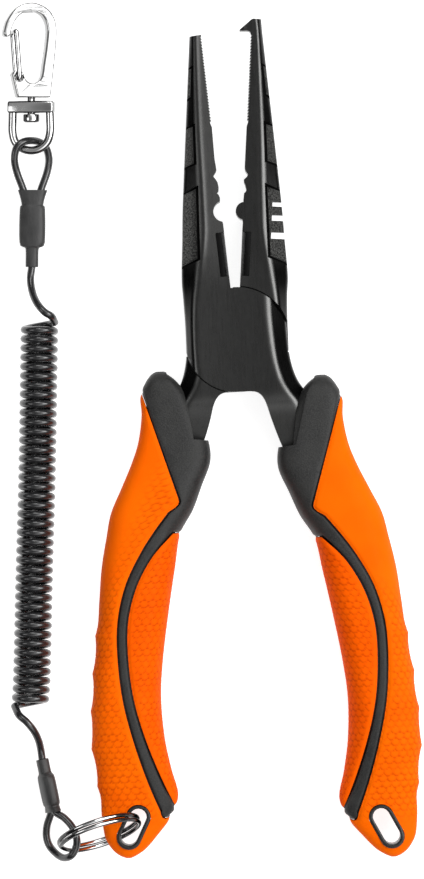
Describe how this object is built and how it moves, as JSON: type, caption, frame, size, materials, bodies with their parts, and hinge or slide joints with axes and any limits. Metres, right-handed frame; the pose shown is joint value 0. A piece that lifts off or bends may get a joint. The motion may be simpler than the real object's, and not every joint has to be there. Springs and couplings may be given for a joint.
{
  "type": "fishing pliers",
  "caption": "Long-nosed fishing pliers with split-ring tip, side cutters, crimper, soft two-part grips and a coiled lanyard ending in a swivel snap hook.",
  "frame": {"origin": "on the pivot axis, at the flat front face of the joint", "axes": "+Z out of the joint's front face along the pivot, +Y towards the jaw tips, +X to the right half"},
  "size_m": [0.1022, 0.2175, 0.0214],
  "materials": {
    "black_steel": "satin black coating with bright worn edges",
    "cutter_steel": "dark hardened steel",
    "spring_steel": "plain drawn wire",
    "core_plastic": "fine grained dark grey",
    "outer_rubber": "bright orange, fish-scale relief",
    "inner_rubber": "deeper orange, fish-scale relief",
    "bush_plastic": "smooth black",
    "chrome_wire": "bright plated",
    "cord_plastic": "glossy black sheath",
    "sleeve_plastic": "matt black shrunk sleeve",
    "ferrule_metal": "plain pressed sleeve"
  },
  "bodies": {
    "rear_half": {"rear_lever": "black_steel", "right_cutter_blade": "cutter_steel", "pivot_pin": "black_steel", "return_spring": "spring_steel", "left_handle_core": "core_plastic", "left_outer_grip": "outer_rubber", "left_inner_grip": "inner_rubber", "left_lanyard_bush": "bush_plastic", "lower_loop": "cord_plastic", "lower_ferrule": "ferrule_metal", "lower_shrink_tube": "sleeve_plastic", "lower_lead": "cord_plastic", "lanyard_coil": "cord_plastic", "upper_lead": "cord_plastic", "upper_shrink_tube": "sleeve_plastic", "upper_ferrule": "ferrule_metal", "upper_loop": "cord_plastic"},
    "front_half": {"front_lever": "black_steel", "left_cutter_blade": "cutter_steel", "right_handle_core": "core_plastic", "right_outer_grip": "outer_rubber", "right_inner_grip": "inner_rubber", "right_lanyard_bush": "bush_plastic"},
    "ring": {"split_ring": "chrome_wire"},
    "bow": {"swivel_bow": "chrome_wire"},
    "hook": {"swivel_pin": "chrome_wire", "hook_body": "chrome_wire"},
    "gate": {"hook_gate": "chrome_wire"}
  },
  "joints": [
    {"name": "jaw_pivot", "type": "hinge", "parent": "rear_half", "child": "front_half", "pos_m": [0, 0, 0], "axis": [0, 0, 1], "range_deg": [-9, 0], "stiffness_Nm_per_rad": 1.5},
    {"name": "ring_tilt", "type": "hinge", "parent": "rear_half", "child": "ring", "pos_m": [-0.0398, -0.1215, -0.00295], "axis": [0.9613, 0.2756, 0], "range_deg": [-3, 8]},
    {"name": "bow_swing", "type": "hinge", "parent": "rear_half", "child": "bow", "pos_m": [-0.04944, 0.05061, -0.0105], "axis": [0, 0, 1], "range_deg": [-12, 15]},
    {"name": "hook_swivel", "type": "hinge", "parent": "bow", "child": "hook", "pos_m": [-0.049, 0.0608, -0.0105], "axis": [0.0436, 0.999, 0], "continuous": true},
    {"name": "gate_hinge", "type": "hinge", "parent": "hook", "child": "gate", "pos_m": [-0.05205, 0.06824, -0.00978], "axis": [0.2077, -0.0091, 0.9781], "range_deg": [-25, 0], "stiffness_Nm_per_rad": 0.04}
  ]
}
